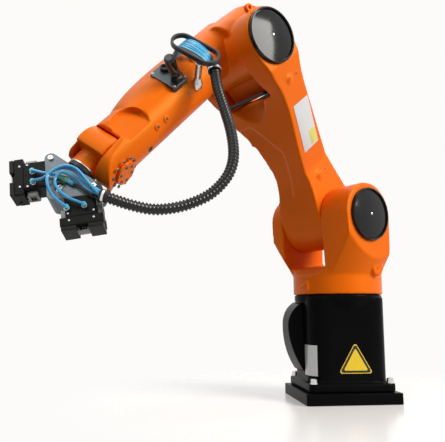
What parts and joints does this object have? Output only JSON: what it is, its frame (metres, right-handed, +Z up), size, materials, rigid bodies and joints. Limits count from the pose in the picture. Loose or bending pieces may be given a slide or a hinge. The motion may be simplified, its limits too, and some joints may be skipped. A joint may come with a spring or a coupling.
{
  "type": "industrial robot arm",
  "caption": "Floor-bolted jointed robot arm in orange castings on a black base, with a double air gripper, blue air hoses and a corrugated conduit along the forearm.",
  "frame": {"origin": "upright turning axis on the underside of the mounting plate", "axes": "+Z up, -Y out of the front face of the base, arm stored reaching to -X"},
  "size_m": [0.8185, 0.5393, 0.8694],
  "materials": {
    "cast_orange": "satin orange paint on castings",
    "base_black": "satin black paint",
    "cap_black": "glossy black",
    "black_plastic": "matte black",
    "conduit_black": "corrugated black",
    "bare_alloy": "milled",
    "bare_steel": "turned",
    "gripper_black": "black anodised",
    "jaw_black": "black anodised",
    "hose_blue": "blue tubing",
    "coupler_green": "green moulding"
  },
  "bodies": {
    "base": {"mounting_plate": "base_black", "base_frame": "base_black", "side_cover": "base_black", "socket_panel": "bare_alloy", "power_socket": "black_plastic", "signal_socket": "black_plastic"},
    "column": {"rotating_column": "cast_orange", "shoulder_cap_right": "cap_black", "shoulder_cap_left": "cap_black"},
    "link": {"link_arm": "cast_orange", "elbow_cap_right": "cap_black", "elbow_cap_left": "cap_black", "lifting_eye": "cast_orange"},
    "elbow": {"elbow_housing": "cast_orange"},
    "forearm": {"forearm": "cast_orange", "wrist_cover_right": "cast_orange", "wrist_cover_left": "cast_orange", "connector_panel": "bare_alloy", "connector_upper": "black_plastic", "connector_lower": "black_plastic", "hose_ring": "black_plastic", "ring_standoffs": "bare_steel", "conduit_clamp": "bare_steel", "conduit": "conduit_black", "ring_hoses": "hose_blue"},
    "hand": {"wrist_hand": "cast_orange"},
    "tool": {"tool_flange": "bare_steel", "gripper_bracket": "bare_alloy", "conduit_end": "black_plastic", "gripper_body_left": "gripper_black", "gripper_body_lower": "gripper_black", "jaw_guide_left": "gripper_black", "jaw_guide_lower": "gripper_black", "air_fittings": "hose_blue", "air_hoses": "hose_blue", "hose_coupler": "coupler_green", "coupler_lead": "black_plastic"},
    "jaw_left_a": {"jaw_left_upper": "jaw_black"},
    "jaw_left_b": {"jaw_left_lower": "jaw_black"},
    "jaw_lower_a": {"jaw_lower_near": "jaw_black"},
    "jaw_lower_b": {"jaw_lower_far": "jaw_black"}
  },
  "joints": [
    {"name": "base_turn", "type": "hinge", "parent": "base", "child": "column", "pos_m": [0, 0, 0.244], "axis": [0, 0, 1], "range_deg": [-200, 140]},
    {"name": "shoulder", "type": "hinge", "parent": "column", "child": "link", "pos_m": [-0.02165, -0.0125, 0.425], "axis": [-0.5, 0.866, 0], "range_deg": [-94, 141]},
    {"name": "elbow_bend", "type": "hinge", "parent": "link", "child": "elbow", "pos_m": [-0.28016, -0.16175, 0.76839], "axis": [0.5, -0.866, 0], "range_deg": [-216, 60]},
    {"name": "forearm_turn", "type": "hinge", "parent": "elbow", "child": "forearm", "pos_m": [-0.30135, -0.17398, 0.79201], "axis": [-0.6016, -0.3473, -0.7193], "range_deg": [-223, 147]},
    {"name": "wrist_bend", "type": "hinge", "parent": "forearm", "child": "hand", "pos_m": [-0.55402, -0.31986, 0.48989], "axis": [0.7987, -0.2498, -0.5474], "range_deg": [-100, 80], "deforming": ["conduit"]},
    {"name": "tool_turn", "type": "hinge", "parent": "hand", "child": "tool", "pos_m": [-0.58373, -0.32911, 0.45076], "axis": [-0.5943, -0.1851, -0.7827], "range_deg": [-120, 120], "deforming": ["conduit"]},
    {"name": "jaw_left_slide", "type": "slide", "parent": "tool", "child": "jaw_left_a", "axis": [-0.1446, 0.3075, 0.9405], "range_m": [0, 0.006]},
    {"name": "jaw_left_follow", "type": "slide", "parent": "tool", "child": "jaw_left_b", "axis": [0.1446, -0.3075, -0.9405], "range_m": [0, 0.006]},
    {"name": "jaw_lower_slide", "type": "slide", "parent": "tool", "child": "jaw_lower_a", "axis": [0.985, -0.0457, 0.1664], "range_m": [0, 0.006]},
    {"name": "jaw_lower_follow", "type": "slide", "parent": "tool", "child": "jaw_lower_b", "axis": [-0.985, 0.0457, -0.1664], "range_m": [0, 0.006]}
  ],
  "couplings": [
    {"joint": "jaw_left_follow", "follows": "jaw_left_slide", "ratio": 1},
    {"joint": "jaw_lower_follow", "follows": "jaw_lower_slide", "ratio": 1}
  ]
}
